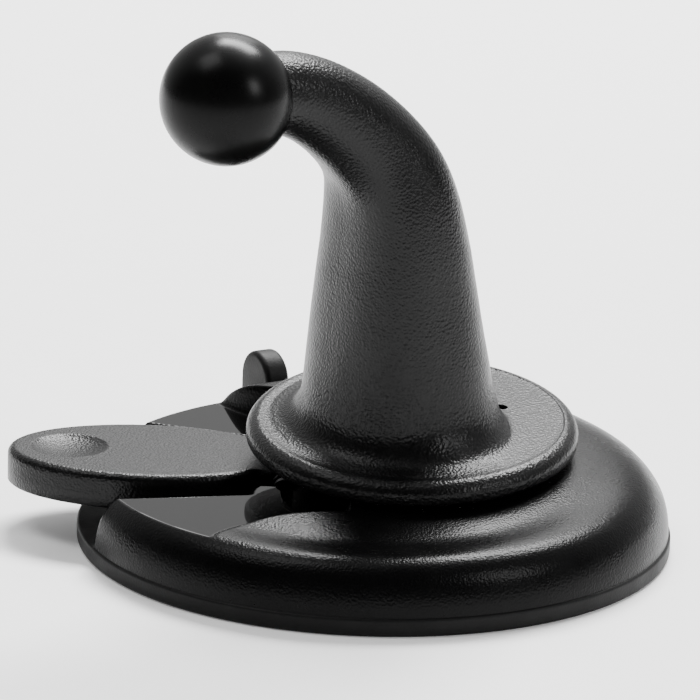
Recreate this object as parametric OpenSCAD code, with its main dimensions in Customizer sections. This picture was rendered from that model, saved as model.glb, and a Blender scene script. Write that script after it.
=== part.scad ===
// Dashboard mount: a locking suction base, a raked swivel and a bent neck with a ball.
// The origin is the centre of the pad's sealing face, +X points away from the lever,
// +Y points to the back, and +Z is up.

/* [Base] */
// Outer radius of the suction pad
pad_r = 40; // [39.9:0.1:41]
// Thickness of the suction pad's ring
pad_t = 2.5; // [2.4:0.1:2.6]
// Inner radius of the pad's ring, where the diaphragm starts
pad_bore_r = 24.4; // [24:0.1:25]
// Height of the flat step beside the lever
step_z = 9.4; // [9.2:0.1:9.6]
// Thickness of the wall under the step
step_wall = 2; // [1.6:0.1:2.2]
// Width of the lever slot where it meets the hub
slot_w = 25.8; // [25:0.2:27]
// How much each side of the slot flares per millimetre of length
slot_flare = 0.26; // [0.22:0.01:0.3]
// Direction of the pull tab, seen from above
tab_angle = 115; // [112:0.5:118]
// Height of the pull tab
tab_h = 13.9; // [12:0.1:17]

/* [Lever] */
// Distance of the lever's tip from the centre of the base
tip_x = 49.8; // [48:0.1:51]
// Greatest width of the paddle
paddle_w = 24.2; // [22:0.1:25]
// Height of the paddle's upper face
paddle_top_z = 11; // [10.8:0.1:11.2]
// Thickness of the paddle's rim
paddle_t = 4.8; // [4.4:0.1:5]
// Distance of the lever's pin from the centre of the base
pivot_x = 11.5; // [11.4:0.1:11.6]
// Height of the lever's pin
pivot_z = 8.6; // [8.5:0.05:8.7]
// Radius of the lever's pin
lever_pin_r = 1; // [0.9:0.05:1]

/* [Swivel] */
// Distance of the swivel from the centre of the base
hub_x = 4.8; // [4.6:0.1:5]
// Height of the flange's underside on the swivel axis
hub_z = 14.35; // [14.3:0.05:14.6]
// How far the swivel axis leans to the front, in degrees
rake = 7; // [6:0.5:7]
// Radius of the arm's flange
flange_r = 22.25; // [21.5:0.25:22.5]
// Thickness of the arm's flange
flange_t = 3; // [2.8:0.1:3.2]
// Radius of the sleeve that turns in the hub
sleeve_r = 12.5; // [12.3:0.1:12.5]
// Radial clearance of running fits
running = 0.04; // [0.02:0.01:0.08]

/* [Neck and ball] */
// Radius of the ball
ball_r = 8.5; // [8:0.1:8.5]
// Distance of the ball's centre from the swivel axis
ball_reach = 29.2; // [28:0.1:30]
// Height of the ball's centre above the flange's underside, along the swivel axis
ball_rise = 53.4; // [53:0.1:54]
// Direction of the ball from the swivel axis, in degrees
ball_angle = 216.7; // [200:0.1:230]

/* [Hidden] */
$fn = 64;

// The dome: radius and height of the profile before the rake is added
DOME_PROFILE = [
    [39.7, 2.5], [39.65, 3.9], [39.4, 5.4], [38.9, 6.95], [38.1, 8.35], [37.0, 9.65],
    [35.4, 10.85], [32.8, 11.9], [29, 12.75], [25, 13.25], [20, 13.5], [13, 13.5]
];
dome_sides = 72;
cavity_r = 34;
// The step's side walls, as cubic curves from the rim to the hub
STEP_WALL_FRONT = [[-19.5, -34], [-17.5, -26], [-13, -22.5], [-2, -21.6]];
STEP_WALL_BACK = [[-25.6, 31], [-20.5, 22.6], [-16, 19.6], [-4, 18.6]];

// The hub, in heights below the flange's underside
hub_gap = 0.45;
hub_roof = 2;
hub_r = 17.5;
hub_step_r = 19.6;
hub_step_drop = 3.8;
bush_r = 14;
plate_t = 0.9;
plate_r = 15.5;
sleeve_bore_r = 9.6;
swivel_screw_ring = 11.05;
SWIVEL_SCREW_ANGLES = [0, 120, 240];

// The mechanism below the hub
chassis_z = 4.6;
chassis_t = 1.2;
chassis_r = 30;
chassis_gap = 13.6;
chassis_screw_ring = 26;
CHASSIS_SCREW_ANGLES = [45, 135, 225, 315];
screw_r = 0.9;
cheek_in = 6.9;
cheek_out = 8.1;
bridge_z = 9.25;
bridge_t = 0.75;
stem_r = 3;
stem_plate_r = 5.2;
stem_pin_z = 7.6;
stem_pin_r = 0.8;
stem_top_z = 12.4;
// Height of the diaphragm's underside: radius and height from the centre outwards
DIAPHRAGM_UNDER = [[0, 3.5], [stem_plate_r, 3.5], [12, 2.7], [18, 1.3], [pad_bore_r, 0.3]];
diaphragm_t = 0.8;
barrel_r = 2.4;
barrel_half = 4.6;
fork_in = 3.3;
fork_out = 5.3;
fork_half = 1.5;
spring_wire = 0.25;
spring_coil_r = 1.75;
spring_turns = 1.5;
spring_y = 5.6;

// The flange and neck: reach, rise, lean, half depth, half width and squareness of each section
NECK = [
    [0, 0, 0, flange_r - 0.55, flange_r - 0.55, 2],
    [0, 0.3, 0, flange_r - 0.12, flange_r - 0.12, 2],
    [0, 0.8, 0, flange_r, flange_r, 2],
    [0, 1.7, 0, flange_r - 0.05, flange_r - 0.05, 2],
    [0, flange_t - 0.6, 0, flange_r - 0.45, flange_r - 0.45, 2],
    [0, flange_t - 0.1, 0, flange_r - 1.1, flange_r - 1.1, 2],
    [0, flange_t + 0.1, 0, flange_r - 1.75, flange_r - 1.75, 2],
    [0, flange_t, 0, flange_r - 2.7, flange_r - 2.7, 2],
    [2.9, flange_t + 0.1, 0, 15.5, 18.2, 2],
    [2.65, 3.6, 0, 14.25, 16.5, 2],
    [2.4, 4.8, 0, 13.3, 15.1, 2],
    [2.25, 6.6, 0, 12.55, 13.9, 2.1],
    [2.45, 9.2, 0, 11.85, 13.25, 2.2],
    [2.6, 12.6, 0, 11.1, 12.8, 2.35],
    [2.9, 18, 0, 10.05, 12.15, 2.5],
    [3.15, 24, 1, 9.1, 11.4, 2.6],
    [3.45, 30, 4, 8.2, 10.8, 2.6],
    [4.2, 36, 10, 7.4, 9.9, 2.6],
    [5.6, 40.2, 22, 6.95, 8.85, 2.5],
    [8.15, 43.9, 36, 6.55, 7.65, 2.35],
    [11.85, 47.6, 50, 6.15, 6.65, 2.2],
    [16.15, 50.7, 63, 5.75, 5.85, 2.1],
    [20.25, 52.6, 74, 5.45, 5.45, 2],
    [24, ball_rise - 0.2, 84, 5.35, 5.35, 2]
];
neck_flat_rows = 9;
neck_sides = 40;
neck_steps = 2;

// Smooth step from 0 at a to 1 at b
function ease(a, b, x) = let(t = min(1, max(0, (x - a) / (b - a)))) t * t * (3 - 2 * t);

// How much the rake lifts or lowers the dome's top at a distance y from the lever's line
function rake_lift(y) = 0.04 * y - 0.0414 * (sqrt(y * y + 36) - y - 6);

function dome_point(r, z, a) =
    let(y = r * sin(a)) [r * cos(a), y, z + rake_lift(y) * ease(39.5, 29, r)];

function bezier(p, t) =
    pow(1 - t, 3) * p[0] + 3 * t * pow(1 - t, 2) * p[1] + 3 * t * t * (1 - t) * p[2] + pow(t, 3) * p[3];

// Catmull-Rom interpolation along a list of rows
function row(list, i) = list[min(len(list) - 1, max(0, i))];
function between(list, i, t) =
    0.5 * (2 * row(list, i) + (row(list, i + 1) - row(list, i - 1)) * t
    + (2 * row(list, i - 1) - 5 * row(list, i) + 4 * row(list, i + 1) - row(list, i + 2)) * t * t
    + (3 * row(list, i) - row(list, i - 1) - 3 * row(list, i + 1) + row(list, i + 2)) * t * t * t);

// Signed power, for sections between an ellipse and a rectangle
function spow(v, e) = sign(v) * pow(abs(v), e);

// A closed solid through rings that all have the same number of points
module loft(rings) {
    n = len(rings[0]);
    m = len(rings);
    ends = [rings[0], rings[m - 1]];
    middles = [for (ring = ends) [for (c = [0:2]) ([for (p = ring) 1] * [for (p = ring) p[c]]) / n]];
    polyhedron(
        points = concat([for (ring = rings) for (p = ring) p], middles),
        faces = concat(
            [for (i = [0:n - 1]) [(i + 1) % n, i, m * n]],
            [for (i = [0:n - 1]) [(m - 1) * n + i, (m - 1) * n + (i + 1) % n, m * n + 1]],
            [for (k = [0:m - 2]) for (i = [0:n - 1]) [k * n + i, k * n + (i + 1) % n, (k + 1) * n + (i + 1) % n]],
            [for (k = [0:m - 2]) for (i = [0:n - 1]) [k * n + i, (k + 1) * n + (i + 1) % n, (k + 1) * n + i]]
        )
    );
}

// Places its children in the swivel's own frame: origin at the flange's underside, Z along the axis
module swivel() {
    translate([hub_x, 0, hub_z]) rotate([rake, 0, 0]) children();
}

// A cylinder along Y, centred on y = 0
module rod_y(r, length, x, z) {
    translate([x, length / 2, z]) rotate([90, 0, 0]) cylinder(r = r, h = length);
}

// Rubber ring that seals on the surface, with the pull tab on its back edge
module suction_pad() {
    color([0.09, 0.09, 0.09]) {
        rotate_extrude($fn = 120)
            polygon([
                [pad_bore_r, 0], [pad_r - 0.7, 0], [pad_r, 0.7], [pad_r, pad_t - 0.3],
                [pad_r - 0.3, pad_t], [pad_bore_r, pad_t]
            ]);
        pull_tab();
    }
}

module pull_tab() {
    tab_t = 3.7;
    tab_round = 4.1;
    tab_turn = 9;
    tab_c = pad_r + 0.6 + tab_round;
    rotate([0, 0, tab_angle]) {
        translate([tab_c, 0, 0])
            rotate([0, 0, tab_turn]) {
                translate([0, tab_t / 2, tab_h - tab_round])
                    rotate([90, 0, 0]) cylinder(r = tab_round, h = tab_t);
                translate([-tab_round, -tab_t / 2, 0.3])
                    cube([2 * tab_round, tab_t, tab_h - tab_round - 0.3]);
            }
        translate([pad_r - 2, -tab_t / 2, 0.3]) cube([3.5, tab_t, pad_t - 0.6]);
    }
}

// Rubber diaphragm inside the ring, drawn up in its middle while the pad is locked
module diaphragm() {
    n = len(DIAPHRAGM_UNDER);
    color([0.07, 0.07, 0.07])
        rotate_extrude($fn = 96)
            polygon(concat(
                DIAPHRAGM_UNDER,
                [for (i = [n - 1:-1:0]) DIAPHRAGM_UNDER[i] + [0, diaphragm_t]]
            ));
}

// Plate and post bonded to the diaphragm's middle
module stem_core() {
    plate_z = DIAPHRAGM_UNDER[0][1] + diaphragm_t + 0.02;
    color([0.32, 0.32, 0.33])
        difference() {
            union() {
                translate([0, 0, plate_z]) cylinder(r = stem_plate_r, h = 0.98);
                translate([0, 0, plate_z]) cylinder(r = stem_r, h = stem_top_z - plate_z);
            }
            rod_y(stem_pin_r, 3 * stem_r, 0, stem_pin_z);
        }
}

// Cross pin that the lever's fork pulls on
module stem_pin() {
    color([0.7, 0.7, 0.72]) rod_y(stem_pin_r, 2 * fork_out + 0.6, 0, stem_pin_z);
}

// Frame under the cover: plate, cheeks for the lever's pin and a bridge that guides the stem
module chassis() {
    cheek_r = 1.6;
    color([0.28, 0.28, 0.3])
        difference() {
            union() {
                translate([0, 0, chassis_z]) cylinder(r = chassis_r, h = chassis_t);
                for (s = [-1, 1]) {
                    translate([0, s * (cheek_in + cheek_out) / 2, 0]) {
                        rod_y(cheek_r, cheek_out - cheek_in, -pivot_x, pivot_z);
                        translate([-pivot_x - cheek_r, -(cheek_out - cheek_in) / 2, chassis_z])
                            cube([2 * cheek_r, cheek_out - cheek_in, pivot_z - chassis_z]);
                    }
                    translate([-3.4, s > 0 ? cheek_in : -8.4, chassis_z])
                        cube([6.8, 8.4 - cheek_in, bridge_z + bridge_t - chassis_z]);
                }
                translate([-3.4, -8.4, bridge_z]) cube([6.8, 16.8, bridge_t]);
                for (a = CHASSIS_SCREW_ANGLES)
                    rotate([0, 0, a]) translate([chassis_screw_ring, 0, chassis_z])
                        cylinder(r = 2.6, h = step_z - step_wall - chassis_z - 0.02, $fn = 48);
                translate([0, 0, bridge_z]) cylinder(r = 4.4, h = bridge_t);
            }
            translate([-chassis_r - 1, -chassis_gap / 2, chassis_z - 1])
                cube([chassis_r + 7, chassis_gap, bridge_z - chassis_z + 1]);
            rod_y(lever_pin_r, 3 * cheek_out, -pivot_x, pivot_z);
            translate([0, 0, chassis_z]) cylinder(r = stem_r + running, h = 10);
            for (a = CHASSIS_SCREW_ANGLES)
                rotate([0, 0, a]) translate([chassis_screw_ring, 0, chassis_z - 1])
                    cylinder(r = screw_r + 0.2, h = 6, $fn = 32);
        }
}

// Screws that hold the chassis to the bosses of the cover
module chassis_screws() {
    color([0.7, 0.7, 0.72])
        for (a = CHASSIS_SCREW_ANGLES)
            rotate([0, 0, a]) translate([chassis_screw_ring, 0, 0])
                difference() {
                    union() {
                        translate([0, 0, chassis_z - 1.2]) cylinder(r = 1.9, h = 1.2, $fn = 32);
                        translate([0, 0, chassis_z - 1.2])
                            cylinder(r = screw_r, h = step_z - 0.8 - chassis_z + 0.2, $fn = 32);
                    }
                    for (q = [0, 90])
                        rotate([0, 0, q]) translate([-1.2, -0.2, chassis_z - 1.3]) cube([2.4, 0.4, 0.7]);
                }
}

// The dome before anything is cut from it
module dome() {
    loft(concat(
        [for (p = DOME_PROFILE) [for (i = [0:dome_sides - 1]) dome_point(p[0], p[1], 360 * i / dome_sides)]],
        [[for (i = [0:dome_sides - 1]) [12 * cos(360 * i / dome_sides), 12 * sin(360 * i / dome_sides), 12]]]
    ));
}

// Everything above the step on the lever's side, up to the curved walls
module step_cut() {
    front = [for (i = [0:12]) bezier(STEP_WALL_FRONT, i / 12)];
    back = [for (i = [12:-1:0]) bezier(STEP_WALL_BACK, i / 12)];
    translate([0, 0, step_z])
        linear_extrude(height = 20)
            polygon(concat([[-50, -40]], front, back, [[-50, 40]]));
}

// Plan of the flared slot that the lever lies in, open at the rim, widened by grow
module slot_plan(near_x, grow = 0) {
    far_x = -pad_r - 2;
    near = slot_w / 2 + slot_flare * (-17 - near_x) + grow;
    far = near + slot_flare * (near_x - far_x);
    polygon([[far_x, -far], [near_x + grow, -near], [near_x + grow, near], [far_x, far]]);
}

// Opening for the barrel, the pin and the fork
module tunnel() {
    translate([-19, -cheek_out - 0.3, pad_t]) cube([10, 2 * cheek_out + 0.6, 12.4 - pad_t]);
}

// Dome-shaped housing with the step, the lever's slot and a round seat for the hub
module base_cover() {
    color([0.13, 0.13, 0.13])
        difference() {
            dome();
            step_cut();
            difference() {
                translate([0, 0, pad_t - 1]) cylinder(r = cavity_r, h = step_z - step_wall - pad_t + 1, $fn = 96);
                translate([0, 0, chassis_z + chassis_t + 0.3])
                    linear_extrude(height = 4) slot_plan(-15.8, 1.6);
            }
            swivel() translate([0, 0, -14]) cylinder(r = hub_step_r, h = 28, $fn = 96);
            translate([0, 0, pad_t - 1]) linear_extrude(height = 11) slot_plan(-15.8);
            tunnel();
            for (a = CHASSIS_SCREW_ANGLES)
                rotate([0, 0, a]) translate([chassis_screw_ring, 0, chassis_z])
                    cylinder(r = screw_r, h = step_z - chassis_z - 1, $fn = 32);
        }
}

// Raked turret bonded into the cover, with the roof that the arm's plate turns under
module hub() {
    color([0.12, 0.12, 0.12])
        difference() {
            swivel() union() {
                translate([0, 0, -12]) cylinder(r = hub_step_r, h = 12 - hub_step_drop, $fn = 96);
                translate([0, 0, -12]) cylinder(r = hub_r, h = 12 - hub_gap, $fn = 96);
            }
            swivel() translate([0, 0, -14]) cylinder(r = plate_r + 0.8, h = 14 - hub_roof, $fn = 96);
            swivel() translate([0, 0, -8]) cylinder(r = bush_r, h = 16, $fn = 96);
            tunnel();
            translate([-30, -30, -10]) cube([60, 60, 10 + step_z - step_wall + 0.2]);
        }
}

// Bush pressed into the hub: the bore that the arm turns in
module swivel_bush() {
    color([0.8, 0.78, 0.7])
        swivel() translate([0, 0, -hub_roof])
            difference() {
                cylinder(r = bush_r, h = hub_roof - hub_gap, $fn = 96);
                translate([0, 0, -1]) cylinder(r = sleeve_r + running, h = 5, $fn = 96);
            }
}

// Washer that gives the swivel its drag
module friction_washer() {
    color([0.75, 0.74, 0.7])
        swivel() translate([0, 0, -hub_gap + 0.02])
            difference() {
                cylinder(r = hub_r - 0.5, h = hub_gap - 0.06, $fn = 96);
                translate([0, 0, -1]) cylinder(r = sleeve_r + 0.3, h = 3, $fn = 96);
            }
}

// Outline of the paddle, drawn in by inset
module paddle_outline(inset = 0) {
    mid = -30.5;
    reach_out = tip_x + mid - inset;
    reach_in = 18.7 - inset;
    half = paddle_w / 2 - inset;
    polygon([
        for (i = [0:71])
            let(a = 5 * i, reach = cos(a) < 0 ? reach_out : reach_in)
                [mid + reach * cos(a), half * sin(a)]
    ]);
}

// Paddle, barrel on the pin and the fork that pulls the stem
module lever() {
    dimple_r = 22;
    dimple_depth = 0.7;
    color([0.15, 0.15, 0.15])
        difference() {
            union() {
                difference() {
                    translate([0, 0, paddle_top_z - paddle_t]) linear_extrude(height = paddle_t) paddle_outline();
                    translate([0, 0, paddle_top_z - paddle_t - 1])
                        linear_extrude(height = paddle_t - 1)
                            intersection() {
                                paddle_outline(1.8);
                                translate([-60, -20]) square([42, 40]);
                            }
                    translate([-pivot_x - 2.7, -20, 0]) cube([20, 40, 20]);
                }
                translate([-pivot_x - 3.5, -barrel_half, pivot_z - barrel_r])
                    cube([3.5, 2 * barrel_half, 2 * barrel_r]);
                rod_y(barrel_r, 2 * barrel_half, -pivot_x, pivot_z);
                for (s = [-1, 1])
                    translate([-pivot_x, s > 0 ? fork_in : -fork_out, stem_pin_z - fork_half])
                        cube([pivot_x + 2, fork_out - fork_in, 2 * fork_half]);
            }
            rod_y(lever_pin_r + running, 4 * cheek_out, -pivot_x, pivot_z);
            translate([-2.3, -10, stem_pin_z - stem_pin_r - 0.1]) cube([6, 20, 2 * stem_pin_r + 0.2]);
            translate([-41.5, 0, paddle_top_z + dimple_r - dimple_depth]) sphere(r = dimple_r, $fn = 96);
        }
}

// Steel pin fixed in the chassis cheeks
module lever_pin() {
    color([0.7, 0.7, 0.72]) rod_y(lever_pin_r, 2 * cheek_out, -pivot_x, pivot_z);
}

// Wire swept along a path in the XZ plane that winds along Y
module wire(path, r) {
    n = len(path);
    loft([
        for (k = [0:n - 1])
            let(
                d = path[min(n - 1, k + 1)] - path[max(0, k - 1)],
                t = d / norm(d),
                side = cross(t, [0, 1, 0]),
                u = side / norm(side),
                v = cross(u, t)
            )
                [for (i = [7:-1:0]) path[k] + r * (cos(45 * i) * u + sin(45 * i) * v)]
    ]);
}

// Two light torsion springs on the lever's pin that steady the fork
module lever_springs() {
    turn_steps = 12;
    steps = spring_turns * turn_steps;
    pitch = 2 * spring_wire + 0.04;
    c = [-pivot_x, 0, pivot_z];
    color([0.72, 0.72, 0.74])
        for (s = [-1, 1])
            wire(
                concat(
                    [c + [5.2, s * 4.7, 0.78]],
                    [c + [2.6, s * 5.3, 1.45]],
                    [for (k = [0:steps])
                        let(a = 90 - 360 * k / turn_steps)
                            c + [spring_coil_r * cos(a), s * (spring_y + pitch * k / turn_steps), spring_coil_r * sin(a)]],
                    [c + [-1.2, s * (spring_y + pitch * spring_turns), -spring_coil_r]],
                    [c + [-1.9, s * (spring_y + pitch * spring_turns), -2.5]]
                ),
                spring_wire
            );
}

// Sleeve under the flange that turns in the bush
module swivel_sleeve() {
    color([0.75, 0.75, 0.77])
        swivel() translate([0, 0, -hub_roof - 0.1])
            difference() {
                cylinder(r = sleeve_r, h = hub_roof + 0.1, $fn = 96);
                translate([0, 0, -1]) cylinder(r = sleeve_bore_r, h = 5, $fn = 96);
                for (a = SWIVEL_SCREW_ANGLES)
                    rotate([0, 0, a]) translate([swivel_screw_ring, 0, -1]) cylinder(r = screw_r, h = 5, $fn = 32);
            }
}

// Plate screwed under the sleeve, so that the arm can't be lifted out
module retaining_plate() {
    color([0.68, 0.68, 0.7])
        swivel() translate([0, 0, -hub_roof - 0.1 - plate_t])
            difference() {
                cylinder(r = plate_r, h = plate_t, $fn = 96);
                translate([0, 0, -1]) cylinder(r = sleeve_bore_r, h = 3, $fn = 96);
                for (a = SWIVEL_SCREW_ANGLES)
                    rotate([0, 0, a]) translate([swivel_screw_ring, 0, 0]) countersink();
            }
}

module countersink() {
    rotate_extrude($fn = 32)
        polygon([[0, 0], [1.6, 0], [screw_r, plate_t - 0.1], [screw_r, plate_t], [0, plate_t]]);
}

// Countersunk screws through the plate into the sleeve
module swivel_screws() {
    color([0.7, 0.7, 0.72])
        swivel()
            for (a = SWIVEL_SCREW_ANGLES)
                rotate([0, 0, a]) translate([swivel_screw_ring, 0, -hub_roof - 0.1 - plate_t]) {
                    countersink();
                    cylinder(r = screw_r, h = plate_t + hub_roof + 1.7, $fn = 32);
                }
}

// One section of the flange and neck, turned towards the ball
function neck_ring(row) =
    let(e = 2 / row[5])
        [for (i = [0:neck_sides - 1])
            let(
                a = 360 * i / neck_sides,
                depth = row[3] * spow(cos(a), e),
                width = row[4] * spow(sin(a), e),
                reach = row[0] + depth * cos(row[2])
            )
                [
                    reach * cos(ball_angle) - width * sin(ball_angle),
                    reach * sin(ball_angle) + width * cos(ball_angle),
                    row[1] - depth * sin(row[2])
                ]];

// Flange and bent neck, one moulding, with a small hole through the flange
module arm() {
    hole_at = [11.7, 4.8];
    rows = concat(
        [for (i = [0:neck_flat_rows - 1]) NECK[i]],
        [for (i = [neck_flat_rows - 1:len(NECK) - 2]) for (k = [1:neck_steps]) between(NECK, i, k / neck_steps)]
    );
    color([0.14, 0.14, 0.14])
        swivel()
            difference() {
                loft([for (r = rows) neck_ring(r)]);
                translate([hole_at[0], hole_at[1], -1]) cylinder(r = 0.85, h = 10, $fn = 32);
                for (a = SWIVEL_SCREW_ANGLES)
                    rotate([0, 0, a]) translate([swivel_screw_ring, 0, -1]) cylinder(r = screw_r, h = 3, $fn = 32);
                ball_and_shank();
            }
}

// The ball and its shank, in the swivel's frame
module ball_and_shank() {
    translate([ball_reach * cos(ball_angle), ball_reach * sin(ball_angle), ball_rise]) {
        sphere(r = ball_r, $fn = 96);
        rotate([0, 0, ball_angle]) rotate([0, -98, 0]) cylinder(r = 2.5, h = 12.5, $fn = 48);
    }
}

// Ball with the shank that the neck is moulded round
module ball_stud() {
    color([0.12, 0.12, 0.12]) swivel() ball_and_shank();
}

suction_pad();
diaphragm();
stem_core();
stem_pin();
chassis();
chassis_screws();
base_cover();
hub();
swivel_bush();
friction_washer();
lever();
lever_pin();
lever_springs();
swivel_sleeve();
retaining_plate();
swivel_screws();
arm();
ball_stud();
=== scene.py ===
import math
import bpy
import numpy as np
from mathutils import Matrix, Vector


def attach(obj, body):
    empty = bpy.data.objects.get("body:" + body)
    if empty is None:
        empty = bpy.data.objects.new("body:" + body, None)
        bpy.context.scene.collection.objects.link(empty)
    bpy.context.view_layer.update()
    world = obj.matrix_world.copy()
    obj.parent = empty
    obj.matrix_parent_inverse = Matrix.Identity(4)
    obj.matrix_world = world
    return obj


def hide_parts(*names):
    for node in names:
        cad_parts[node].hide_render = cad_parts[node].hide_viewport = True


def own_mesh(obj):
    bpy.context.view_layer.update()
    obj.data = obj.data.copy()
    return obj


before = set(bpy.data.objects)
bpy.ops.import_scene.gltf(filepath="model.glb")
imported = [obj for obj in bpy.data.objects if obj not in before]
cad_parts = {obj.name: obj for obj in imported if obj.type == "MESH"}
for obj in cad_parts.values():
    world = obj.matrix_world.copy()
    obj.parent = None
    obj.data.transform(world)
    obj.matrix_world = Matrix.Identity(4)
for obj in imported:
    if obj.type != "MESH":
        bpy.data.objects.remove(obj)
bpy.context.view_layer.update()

MM = 0.001
scene = bpy.context.scene

# Driving sizes in mm. The tab's angles are in degrees, RAKE and BALL_ANGLE in radians.
PAD_R, PAD_T, PAD_BORE_R = 40, 2.5, 24.4
STEP_Z = 9.4
HUB_X, HUB_Z = 4.8, 14.35
RAKE = math.radians(7)
FLANGE_R, FLANGE_TOP = 22.25, 3.0
BALL_R, BALL_REACH, BALL_RISE, BALL_ANGLE = 8.5, 29.2, 53.4, math.radians(216.7)
HOLE_AT, HOLE_R = (11.7, 4.8), 0.85
PIVOT_X, PIVOT_Z = -11.5, 8.6
PADDLE_X, PADDLE_TOP = -30.5, 11.0
PADDLE_OUT, PADDLE_IN, PADDLE_HALF = 19.3, 18.4, 12.1
DIMPLE_X, DIMPLE_R, DIMPLE_DEPTH = -41.5, 5.2, 0.95
SLOT_HALF, SLOT_FLARE, SLOT_END = 12.9, 0.26, -15.8
TUNNEL_HALF, TUNNEL_END, CUT_Z = 8.4, -9, 2.3
TAB_ANGLE, TAB_TURN, TAB_H, TAB_ROUND, TAB_T = 115, 9, 13.9, 4.1, 3.7

# ---------------------------------------------------------------- camera
# a long lens, a little to the right of the front and looking down. Its distance was chosen, and its
# other numbers were solved by a least-squares program from the base's rim, the flange's rim and the
# ball in the photograph.
az, el, roll = math.radians(4.2), math.radians(16.021), math.radians(1.566)
back = Vector((math.sin(az) * math.cos(el), -math.cos(az) * math.cos(el), math.sin(el)))
right = Vector((math.cos(az), math.sin(az), 0))
up = back.cross(right)
cam_x = right * math.cos(roll) + up * math.sin(roll)
cam_y = -right * math.sin(roll) + up * math.cos(roll)
camera_data = bpy.data.cameras.new("camera")
camera_data.sensor_width = 36
camera_data.lens = 228.41
camera_data.clip_end = 20
camera = bpy.data.objects.new("camera", camera_data)
scene.collection.objects.link(camera)
place = Matrix((cam_x, cam_y, back)).transposed().to_4x4()
place.translation = Vector((37.90, -568.46, 189.91)) * MM
camera.matrix_world = place
scene.camera = camera


# ---------------------------------------------------------------- meshes
def mesh_object(name, verts_mm, faces, indices=None):
    mesh = bpy.data.meshes.new(name)
    mesh.from_pydata([tuple(float(c) * MM for c in v) for v in verts_mm], [], faces)
    mesh.validate()
    mesh.polygons.foreach_set("use_smooth", [True] * len(mesh.polygons))
    if indices is not None:
        mesh.polygons.foreach_set("material_index", indices)
    mesh.update()
    obj = bpy.data.objects.new(name, mesh)
    scene.collection.objects.link(obj)
    return obj


def loft_faces(m, n, start=0, caps=True):
    """Quads between m rings of n points each, closed at both ends if wanted."""
    faces = []
    for k in range(m - 1):
        here, above = start + k * n, start + (k + 1) * n
        for i in range(n):
            j = (i + 1) % n
            faces.append((here + i, here + j, above + j, above + i))
    if caps:
        faces.append(tuple(start + i for i in range(n - 1, -1, -1)))
        faces.append(tuple(start + (m - 1) * n + i for i in range(n)))
    return faces


def ease(a, b, x):
    """A smooth step from 0 at a to 1 at b."""
    t = np.clip((x - a) / (b - a), 0, 1)
    return t * t * (3 - 2 * t)


def catmull(rows, steps):
    """A smooth curve through the rows."""
    rows = np.array(rows, float)
    out = []
    last = len(rows) - 1
    for i in range(last):
        p0, p1, p2, p3 = rows[max(0, i - 1)], rows[i], rows[i + 1], rows[min(last, i + 2)]
        for k in range(steps):
            t = k / steps
            out.append(0.5 * (2 * p1 + (p2 - p0) * t + (2 * p0 - 5 * p1 + 4 * p2 - p3) * t * t
                              + (3 * p1 - p0 - 3 * p2 + p3) * t ** 3))
    out.append(rows[-1])
    return np.array(out)


HUB = np.array([HUB_X, 0, HUB_Z])


def from_swivel(p):
    """From the swivel's own raked frame to the part's frame."""
    p = np.asarray(p, float)
    c, s = math.cos(RAKE), math.sin(RAKE)
    return np.stack([p[..., 0], c * p[..., 1] - s * p[..., 2], s * p[..., 1] + c * p[..., 2]], -1) + HUB


# ---------------------------------------------------------------- cover
# The dome's outline as radius and height. The second to the tenth height are the rounded output of
# a least-squares program, which fitted them to the photograph's outline. They weren't chosen by hand.
PROFILE = [
    (39.7, 2.5), (39.65, 3.9), (39.4, 5.4), (38.9, 6.95), (38.1, 8.35), (37.0, 9.65),
    (35.4, 10.85), (32.8, 11.9), (29, 12.75), (25, 13.25), (20, 13.5), (13, 13.5),
]
# The S-shaped walls of the step, as Bezier curves in plan
WALL_FRONT = [(-19.5, -34), (-17.5, -26), (-13, -22.5), (-2, -21.6)]
WALL_BACK = [(-25.6, 31), (-20.5, 22.6), (-16, 19.6), (-4, 18.6)]


def bezier(p, count):
    p = np.array(p, float)
    t = np.linspace(0, 1, count)[:, None]
    return (1 - t) ** 3 * p[0] + 3 * t * (1 - t) ** 2 * p[1] + 3 * t * t * (1 - t) * p[2] + t ** 3 * p[3]


def signed_distance(points, loop):
    """Distance to a closed loop, positive inside."""
    best = np.full(len(points), 1e9)
    inside = np.zeros(len(points), bool)
    for a, b in zip(loop, np.roll(loop, -1, axis=0)):
        d = b - a
        t = np.clip(((points - a) @ d) / (d @ d), 0, 1)
        best = np.minimum(best, np.linalg.norm(points - a - t[:, None] * d, axis=1))
        crosses = (a[1] > points[:, 1]) != (b[1] > points[:, 1])
        slope = (b[0] - a[0]) / (b[1] - a[1] if b[1] != a[1] else 1e-9)
        inside ^= crosses & (points[:, 0] < a[0] + (points[:, 1] - a[1]) * slope)
    return np.where(inside, best, -best)


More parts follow.
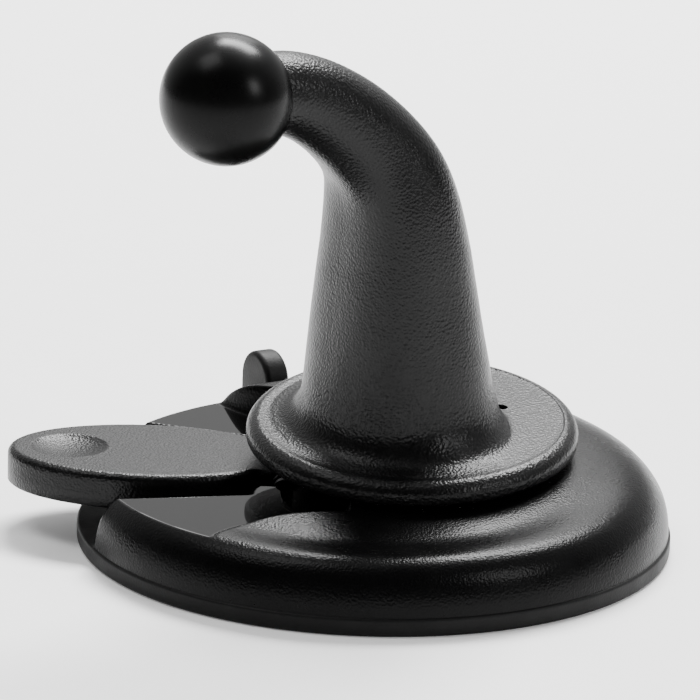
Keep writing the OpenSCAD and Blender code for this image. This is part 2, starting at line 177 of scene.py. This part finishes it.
def build_cover():
    n = 1200
    leaves_r, arrives_r = 34, 19
    profile = catmull(PROFILE, 10)
    length = np.concatenate([[0], np.cumsum(np.linalg.norm(np.diff(profile, axis=0), axis=1))])
    along = np.linspace(0, length[-1], 130)
    ring_r = np.interp(along, length, profile[:, 0])
    ring_z = np.interp(along, length, profile[:, 1])
    angle = np.linspace(0, 2 * math.pi, n, endpoint=False)
    # the inner rings move over to the hub's centre
    shift = HUB_X * np.clip((leaves_r - ring_r) / (leaves_r - arrives_r), 0, 1)
    x = ring_r[:, None] * np.cos(angle) + shift[:, None]
    y = ring_r[:, None] * np.sin(angle)
    r0 = np.hypot(x, y)
    dome_z = np.interp(-r0, -profile[:, 0], profile[:, 1])
    z = np.where(shift[:, None] > 0, dome_z, ring_z[:, None] + 0 * x)
    # the dome's top leans with the hub, down at the front and up at the back
    lift = 0.04 * y - 0.0414 * (np.sqrt(y * y + 36) - y - 6)
    z = z + lift * ease(39.5, 29, r0)
    flat = np.stack([x.ravel(), y.ravel()], 1)
    # the step beside the lever
    loop = np.concatenate([[(-60, -52), (-21.5, -42)], bezier(WALL_FRONT, 30), bezier(WALL_BACK, 30)[::-1],
                           [(-34.5, 42), (-60, 52)]])
    step = signed_distance(flat, loop).reshape(x.shape)
    step_w = ease(-0.55, 0.55, step)
    z = z * (1 - step_w) + np.minimum(z, STEP_Z) * step_w
    # the slot for the lever, and the tunnel at its root
    half = SLOT_HALF + SLOT_FLARE * (-17 - x)
    edge = np.minimum(half - np.abs(y), SLOT_END - x)
    tunnel = np.minimum(TUNNEL_HALF - np.abs(y), TUNNEL_END - x)
    slot_w = ease(-0.25, 0.5, np.maximum(edge, tunnel))
    z = z * (1 - slot_w) + CUT_Z * slot_w
    verts = np.stack([x, y, z], -1).reshape(-1, 3)
    m = len(ring_r)
    faces, slots = [], []
    w_step, w_slot, zz = step_w.ravel(), slot_w.ravel(), verts[:, 2]
    for k in range(m - 1):
        for i in range(n):
            j = (i + 1) % n
            f = (k * n + i, k * n + j, (k + 1) * n + j, (k + 1) * n + i)
            if min(w_slot[v] for v in f) > 0.985:
                continue
            faces.append(f)
            flat_step = max(abs(zz[v] - STEP_Z) for v in f) < 0.12
            glossy = min(w_step[v] for v in f) > 0.02 and flat_step
            slots.append(1 if glossy else 0)
    return mesh_object("cover_shell", verts, faces, indices=slots)


# ---------------------------------------------------------------- arm
# Each row: offset towards the ball, height, lean in degrees, half depth, half width, squareness.
# From height 12.6 up, the offsets, half depths and half widths are the rounded output of a
# least-squares program, which fitted them to the photograph's outline. The rows at 4.8, 6.6 and 9.2
# keep its half width and its edge towards the ball, to within 0.1. The rest was chosen.
NECK = [
    [0, 0, 0, FLANGE_R - 0.55, FLANGE_R - 0.55, 2], [0, 0.3, 0, FLANGE_R - 0.12, FLANGE_R - 0.12, 2],
    [0, 0.8, 0, FLANGE_R, FLANGE_R, 2], [0, 1.7, 0, FLANGE_R - 0.05, FLANGE_R - 0.05, 2],
    [0, 2.4, 0, FLANGE_R - 0.45, FLANGE_R - 0.45, 2], [0, 2.9, 0, FLANGE_R - 1.1, FLANGE_R - 1.1, 2],
    [0, 3.1, 0, FLANGE_R - 1.75, FLANGE_R - 1.75, 2], [0, 3, 0, FLANGE_R - 2.7, FLANGE_R - 2.7, 2],
    [2.9, 3.1, 0, 15.5, 18.2, 2], [2.65, 3.6, 0, 14.25, 16.5, 2], [2.4, 4.8, 0, 13.3, 15.1, 2],
    [2.25, 6.6, 0, 12.55, 13.9, 2.1], [2.45, 9.2, 0, 11.85, 13.25, 2.2], [2.6, 12.6, 0, 11.1, 12.8, 2.35],
    [2.9, 18, 0, 10.05, 12.15, 2.5], [3.15, 24, 1, 9.1, 11.4, 2.6], [3.45, 30, 4, 8.2, 10.8, 2.6],
    [4.2, 36, 10, 7.4, 9.9, 2.6], [5.6, 40.2, 22, 6.95, 8.85, 2.5], [8.15, 43.9, 36, 6.55, 7.65, 2.35],
    [11.85, 47.6, 50, 6.15, 6.65, 2.2], [16.15, 50.7, 63, 5.75, 5.85, 2.1],
    [20.25, 52.6, 74, 5.45, 5.45, 2], [24, 53.2, 84, 5.35, 5.35, 2],
]


def build_arm():
    n = 160
    to_ball = (math.cos(BALL_ANGLE), math.sin(BALL_ANGLE))
    rows = catmull(NECK, 8)
    rings = []
    a = np.linspace(0, 2 * math.pi, n, endpoint=False)
    for s, w, lean, depth, width, power in rows:
        e = 2 / power
        d = depth * np.sign(np.cos(a)) * np.abs(np.cos(a)) ** e
        q = width * np.sign(np.sin(a)) * np.abs(np.sin(a)) ** e
        t = math.radians(lean)
        reach = s + d * math.cos(t)
        rings.append(np.stack([reach * to_ball[0] - q * to_ball[1],
                               reach * to_ball[1] + q * to_ball[0], w - d * math.sin(t)], -1))
    verts = from_swivel(np.concatenate(rings))
    arm = mesh_object("arm_skin", verts, loft_faces(len(rows), n))
    # the small hole through the flange
    bpy.ops.mesh.primitive_cylinder_add(vertices=48, radius=HOLE_R * MM, depth=12 * MM)
    cutter = bpy.context.object
    cutter.name = "hole_cutter"
    cutter.rotation_euler = (RAKE, 0, 0)
    cutter.location = Vector(from_swivel((*HOLE_AT, FLANGE_TOP))) * MM
    bpy.context.view_layer.update()
    cut = arm.modifiers.new("hole", "BOOLEAN")
    cut.object = cutter
    cut.solver = "EXACT"
    graph = bpy.context.evaluated_depsgraph_get()
    arm.data = bpy.data.meshes.new_from_object(arm.evaluated_get(graph))
    arm.modifiers.clear()
    arm.data.polygons.foreach_set("use_smooth", [True] * len(arm.data.polygons))
    bpy.data.objects.remove(cutter)
    arm.data.set_sharp_from_angle(angle=math.radians(40))
    return arm


def build_ball():
    n, m = 128, 64
    rings = []
    for k in range(1, m):
        t = math.pi * k / m
        a = np.linspace(0, 2 * math.pi, n, endpoint=False)
        rings.append(np.stack([BALL_R * math.sin(t) * np.cos(a), BALL_R * math.sin(t) * np.sin(a),
                               np.full(n, -BALL_R * math.cos(t))], -1))
    centre = np.array([BALL_REACH * math.cos(BALL_ANGLE), BALL_REACH * math.sin(BALL_ANGLE), BALL_RISE])
    return mesh_object("ball", from_swivel(np.concatenate(rings) + centre), loft_faces(m - 1, n))


# ---------------------------------------------------------------- lever
def build_lever():
    n = 240
    edge_r = 1.1
    a = np.linspace(0, 2 * math.pi, n, endpoint=False)
    c, s = np.cos(a), np.sin(a)

    def ring(inset, z):
        reach = np.where(c < 0, PADDLE_OUT, PADDLE_IN) - inset
        x = PADDLE_X + reach * c
        y = (PADDLE_HALF - inset) * s
        return np.stack([x, y, np.full(n, z)], -1)

    # from the hollow underside up the side wall, round the top edge and in to the middle
    rings = [ring(1.8, 9.0), ring(1.8, 6.35), ring(1.65, 6.2), ring(0.25, 6.2)]
    rings += [ring(0, 6.45), ring(0, 8), ring(0, 9.6)]
    for k in range(1, 9):
        t = math.radians(90 * k / 8)
        rings.append(ring(edge_r * (1 - math.cos(t)), PADDLE_TOP - edge_r + edge_r * math.sin(t)))
    rim = ring(edge_r, PADDLE_TOP)
    middle = np.array([PADDLE_X, 0, 0])
    for k in range(1, 90):
        size = 1 - k / 90.5
        rings.append((rim - middle) * (size, size, 1) + middle)
    verts = np.concatenate(rings)
    x, y, z = verts[:, 0].copy(), verts[:, 1], verts[:, 2]
    top = z > 9.3
    # finger dimple
    d = np.hypot(x - DIMPLE_X, y)
    depth = DIMPLE_DEPTH * np.clip(1 - (d / DIMPLE_R) ** 2, 0, 1) ** 0.8
    verts[:, 2] = np.where(top, z - depth, z)
    # the root rounds down towards the pin
    drop = 2.6 * ease(-16.8, -11.9, x) ** 1.6
    verts[:, 2] = np.where(top, verts[:, 2] - drop, verts[:, 2])
    count = len(rings)
    faces = loft_faces(count, n, caps=False)
    faces.append(tuple(range(n - 1, -1, -1)))
    faces.append(tuple((count - 1) * n + i for i in range(n)))
    verts = list(map(tuple, verts))
    # barrel on the pin
    m = 64
    for y, r in ((-4.6, 2.1), (-4.3, 2.4), (4.3, 2.4), (4.6, 2.1)):
        for i in range(m):
            t = 2 * math.pi * i / m
            verts.append((PIVOT_X + r * math.sin(t), y, PIVOT_Z + r * math.cos(t)))
    start = count * n
    faces += loft_faces(4, m, start)
    # fork arms, each with a slot that is open towards the post
    outline = [
        (-11.5, 7.1), (-11.2, 6.1), (1.7, 6.1), (2.0, 6.4), (2.0, 6.6), (1.9, 6.7), (-1.7, 6.7),
        (-2.0, 6.8), (-2.3, 7.2), (-2.4, 7.6), (-2.3, 8.0), (-2.0, 8.4), (-1.7, 8.5), (1.9, 8.5),
        (2.0, 8.6), (2.0, 8.8), (1.7, 9.1), (-11.2, 9.1), (-11.5, 8.1),
    ]
    for inner, outer in ((3.3, 5.3), (-5.3, -3.3)):
        start = len(verts)
        k = len(outline)
        for y in (inner, outer):
            verts += [(px, y, pz) for px, pz in outline]
        faces.append(tuple(start + i for i in range(k)))
        faces.append(tuple(start + k + i for i in range(k - 1, -1, -1)))
        for i in range(k):
            j = (i + 1) % k
            faces.append((start + j, start + i, start + k + i, start + k + j))
    obj = mesh_object("lever_skin", verts, faces)
    obj.data.set_sharp_from_angle(angle=math.radians(50))
    return obj


# ---------------------------------------------------------------- pad and tab
def build_pad():
    n = 360
    a = np.linspace(0, 2 * math.pi, n, endpoint=False)
    low_r, high_r = 0.65, 0.4
    prof = [(PAD_BORE_R, 0.05), (PAD_BORE_R, 0.0), (30, 0.0), (39.2, 0.0)]
    for t in np.linspace(0.2, math.pi / 2, 7):
        prof.append((PAD_R - low_r + low_r * math.sin(t), low_r - low_r * math.cos(t)))
    prof += [(PAD_R, 1.4), (PAD_R, 2.0)]
    for t in np.linspace(0.2, math.pi / 2, 6):
        prof.append((PAD_R - high_r + high_r * math.cos(t), PAD_T - high_r + high_r * math.sin(t)))
    prof += [(38.5, PAD_T), (34, PAD_T), (24.6, PAD_T), (PAD_BORE_R, PAD_T - 0.2)]
    verts = []
    for ring_r, z in prof:
        verts += [(ring_r * math.cos(t), ring_r * math.sin(t), z) for t in a]
    last = (len(prof) - 1) * n
    faces = loft_faces(len(prof), n, caps=False)
    faces += [(last + i, last + (i + 1) % n, (i + 1) % n, i) for i in range(n)]
    # pull tab: an upright fin with a round top and rounded edges, turned a little on its foot
    place_a, turned_a = math.radians(TAB_ANGLE), math.radians(TAB_ANGLE + TAB_TURN)
    c, s = math.cos(place_a), math.sin(place_a)
    c2, s2 = math.cos(turned_a), math.sin(turned_a)
    mid, r, edge_r = PAD_R + 0.6 + TAB_ROUND, TAB_ROUND, 0.8
    foot = mid - r - 1.8
    outline = [(mid + r, 0.35)]
    outline += [(mid + r * math.cos(t), TAB_H - r + r * math.sin(t)) for t in np.linspace(0, math.pi, 33)]
    outline += [(mid - r, 2.4), (foot, 2.3), (foot, 0.35)]
    outline = np.array(outline)
    centre = outline.mean(axis=0)
    flat = TAB_T / 2 - edge_r
    turn = np.linspace(math.pi / 2, 0, 7)
    edge = [(edge_r - edge_r * math.cos(t), flat + edge_r * math.sin(t)) for t in turn]
    layers = [(i, -w) for i, w in edge] + [(i, w) for i, w in reversed(edge)]
    start = len(verts)
    for inset, side in layers:
        for p in outline:
            d = p - centre
            q = p - d / np.linalg.norm(d) * inset
            u = q[0] - mid
            verts.append((mid * c + u * c2 - side * s2, mid * s + u * s2 + side * c2, q[1]))
    faces += loft_faces(len(layers), len(outline), start)
    obj = mesh_object("pad_skin", verts, faces)
    obj.data.set_sharp_from_angle(angle=math.radians(60))
    return obj


def build_diaphragm():
    n = 180
    under = catmull([(0.4, 3.5), (5.2, 3.5), (12, 2.7), (18, 1.3), (24.4, 0.3)], 8)
    over = under[::-1] + np.array([0, 0.8])
    verts = []
    for r, z in list(under) + list(over):
        verts += [(r * math.cos(2 * math.pi * i / n), r * math.sin(2 * math.pi * i / n), z) for i in range(n)]
    count = len(under) * 2
    faces = [tuple(reversed(f)) for f in loft_faces(count, n, caps=False)]
    faces.append(tuple(range(n)))
    faces.append(tuple((count - 1) * n + i for i in range(n - 1, -1, -1)))
    obj = mesh_object("diaphragm_skin", verts, faces)
    obj.data.set_sharp_from_angle(angle=math.radians(60))
    return obj


# ---------------------------------------------------------------- materials
def material(name, color, rough, specular=0.5, grain=0.0, grain_mm=0.35, metallic=0.0, fine=0.0,
             vary=0.15, stretch=(1, 1, 1)):
    """A surface with uneven colour and roughness, an optional cell grain and fine bumps."""
    mat = bpy.data.materials.new(name)
    mat.use_nodes = True
    nodes, links = mat.node_tree.nodes, mat.node_tree.links
    shader = next(x for x in nodes if x.type == "BSDF_PRINCIPLED")
    shader.inputs["Metallic"].default_value = metallic
    shader.inputs["Specular IOR Level"].default_value = specular
    coord = nodes.new("ShaderNodeTexCoord")
    space = nodes.new("ShaderNodeMapping")
    space.inputs["Scale"].default_value = stretch
    links.new(coord.outputs["Object"], space.inputs["Vector"])

    def noise(scale_mm, detail):
        t = nodes.new("ShaderNodeTexNoise")
        t.inputs["Scale"].default_value = 1000.0 / scale_mm
        t.inputs["Detail"].default_value = detail
        links.new(space.outputs["Vector"], t.inputs["Vector"])
        return t

    def ramp(src, low, high, start=0.3, end=0.7):
        t = nodes.new("ShaderNodeMapRange")
        t.inputs["From Min"].default_value = start
        t.inputs["From Max"].default_value = end
        t.inputs["To Min"].default_value = low
        t.inputs["To Max"].default_value = high
        links.new(src, t.inputs["Value"])
        return t.outputs["Result"]

    broad = noise(9.0, 4)
    mix = nodes.new("ShaderNodeMix")
    mix.data_type = "RGBA"
    links.new(ramp(broad.outputs["Fac"], 0.0, 1.0), mix.inputs["Factor"])
    mix.inputs["A"].default_value = (*[c * (1 - vary) for c in color], 1)
    mix.inputs["B"].default_value = (*[c * (1 + vary) for c in color], 1)
    links.new(mix.outputs["Result"], shader.inputs["Base Color"])
    smudge = noise(4.0, 6)
    links.new(ramp(smudge.outputs["Fac"], rough * 0.9, min(1, rough * 1.12)), shader.inputs["Roughness"])
    normal = None
    if grain:
        cells = nodes.new("ShaderNodeTexVoronoi")
        cells.feature = "SMOOTH_F1"
        cells.inputs["Scale"].default_value = 1000.0 / grain_mm
        cells.inputs["Smoothness"].default_value = 0.7
        links.new(space.outputs["Vector"], cells.inputs["Vector"])
        bump = nodes.new("ShaderNodeBump")
        bump.inputs["Strength"].default_value = grain
        bump.inputs["Distance"].default_value = grain_mm * 0.2 * MM
        links.new(cells.outputs["Distance"], bump.inputs["Height"])
        normal = bump
    if fine:
        speck = noise(0.25, 3)
        bump = nodes.new("ShaderNodeBump")
        bump.inputs["Strength"].default_value = fine
        bump.inputs["Distance"].default_value = 0.02 * MM
        links.new(speck.outputs["Fac"], bump.inputs["Height"])
        if normal:
            links.new(normal.outputs["Normal"], bump.inputs["Normal"])
        normal = bump
    if normal:
        links.new(normal.outputs["Normal"], shader.inputs["Normal"])
    return mat


GRAINED = material("grained_black", (0.002, 0.002, 0.0021), 0.28, 0.08, grain=0.6, grain_mm=0.3, fine=0.4)
ARM_BLACK = material("arm_black", (0.003, 0.003, 0.0031), 0.33, 0.2, grain=1.0, grain_mm=0.36, fine=0.4)
LEVER_BLACK = material("lever_black", (0.003, 0.003, 0.0031), 0.34, 0.18, grain=1.0, grain_mm=0.33, fine=0.5)
GLOSSY = material("glossy_black", (0.001, 0.001, 0.001), 0.04, 0.25, fine=0.03, vary=0.05)
SATIN = material("ball_satin", (0.002, 0.002, 0.002), 0.28, 0.1, fine=0.1)
RUBBER = material("pad_rubber", (0.005, 0.005, 0.005), 0.5, 0.14, grain=0.3, grain_mm=0.3, fine=0.3)
INNER = material("inner_plastic", (0.02, 0.02, 0.021), 0.45, 0.25, grain=0.3, grain_mm=0.4, fine=0.3)
ACETAL = material("acetal", (0.6, 0.58, 0.52), 0.35, 0.5, fine=0.3, vary=0.05)
STEEL = material("zinc_steel", (0.55, 0.56, 0.58), 0.3, metallic=1.0, fine=0.4, vary=0.08,
                 stretch=(1, 1, 6))
BLACK_STEEL = material("black_steel", (0.02, 0.02, 0.021), 0.4, 0.2, fine=0.4, vary=0.08)


def finish_piece(obj, body, nodes, slot, *mats):
    """Give a piece its materials and its body, and hide the nodes that it stands for. slot is not used."""
    used = [p.material_index for p in obj.data.polygons]
    obj.data.materials.clear()
    for m in mats:
        obj.data.materials.append(m)
    obj.data.polygons.foreach_set("material_index", used)
    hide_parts(*nodes)
    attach(obj, body)


cover = build_cover()
finish_piece(cover, "base", ["base_cover"], "housing_black", GRAINED, GLOSSY)
arm = build_arm()
finish_piece(arm, "arm", ["arm"], "arm_black", ARM_BLACK)
ball = build_ball()
finish_piece(ball, "arm", ["ball_stud"], "ball_black", SATIN)
lever = build_lever()
finish_piece(lever, "lever", ["lever"], "lever_black", LEVER_BLACK)
pad = build_pad()
finish_piece(pad, "base", ["suction_pad"], "pad_rubber", RUBBER)
diaphragm = build_diaphragm()
finish_piece(diaphragm, "base", ["diaphragm"], "pad_rubber", RUBBER)
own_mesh(diaphragm)

KEPT = {
    "stem_core": INNER, "stem_pin": STEEL, "chassis": INNER, "chassis_screws": STEEL, "hub": GRAINED,
    "swivel_bush": ACETAL, "friction_washer": ACETAL, "lever_pin": BLACK_STEEL, "lever_springs": BLACK_STEEL,
    "swivel_sleeve": STEEL, "retaining_plate": STEEL, "swivel_screws": STEEL,
}
for name, mat in KEPT.items():
    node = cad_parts[name]
    node.data.materials.clear()
    node.data.materials.append(mat)
    for poly in node.data.polygons:
        poly.material_index = 0

# ---------------------------------------------------------------- stage
FLOOR = 1500
corners = [(-FLOOR, -FLOOR, 0), (FLOOR, -FLOOR, 0), (FLOOR, FLOOR, 0), (-FLOOR, FLOOR, 0)]
floor = mesh_object("floor", corners, [(0, 1, 2, 3)])
pale = material("floor_pale", (0.94, 0.94, 0.94), 0.7, 0.1, vary=0.01)
floor.data.materials.append(pale)
pale_shader = next(x for x in pale.node_tree.nodes if x.type == "BSDF_PRINCIPLED")
pale_shader.inputs["Emission Color"].default_value = (1, 1, 1, 1)
pale_shader.inputs["Emission Strength"].default_value = 0.15

# a white studio that is bright behind and above, and dark in front
world = bpy.data.worlds.new("studio")
scene.world = world
world.use_nodes = True
wn, wl = world.node_tree.nodes, world.node_tree.links
background = next(x for x in wn if x.type == "BACKGROUND")
where = wn.new("ShaderNodeTexCoord")
split = wn.new("ShaderNodeSeparateXYZ")
wl.new(where.outputs["Generated"], split.inputs["Vector"])
tilt = wn.new("ShaderNodeMath")
tilt.operation = "MULTIPLY_ADD"
tilt.inputs[1].default_value = 0.55
wl.new(split.outputs["Z"], tilt.inputs[0])
wl.new(split.outputs["Y"], tilt.inputs[2])
glow = wn.new("ShaderNodeMapRange")
glow.interpolation_type = "SMOOTHSTEP"
glow.inputs["From Min"].default_value = 0.0
glow.inputs["From Max"].default_value = 0.85
glow.inputs["To Min"].default_value = 0.03
glow.inputs["To Max"].default_value = 0.85
wl.new(tilt.outputs["Value"], glow.inputs["Value"])
wl.new(glow.outputs["Result"], background.inputs["Strength"])
background.inputs["Color"].default_value = (1, 1, 1, 1)


def softbox(name, at, size, watts, aim=(0, 0, 0.02)):
    """A rectangular light at a place in metres, turned towards aim."""
    light = bpy.data.lights.new(name, "AREA")
    light.shape = "RECTANGLE"
    light.size, light.size_y = size
    light.energy = watts
    obj = bpy.data.objects.new(name, light)
    scene.collection.objects.link(obj)
    obj.location = at
    obj.rotation_euler = (Vector(aim) - Vector(at)).to_track_quat("-Z", "Y").to_euler()


softbox("key", (0.16, 0.72, 1.07), (0.8, 0.35), 50)
softbox("back", (0.0, 1.9, 1.1), (0.9, 0.9), 8, aim=(0, 1.2, 0))
softbox("right", (0.98, -0.55, 0.65), (0.3, 0.45), 5.5)
softbox("left", (-0.45, -0.1, 1.1), (0.5, 0.5), 5)
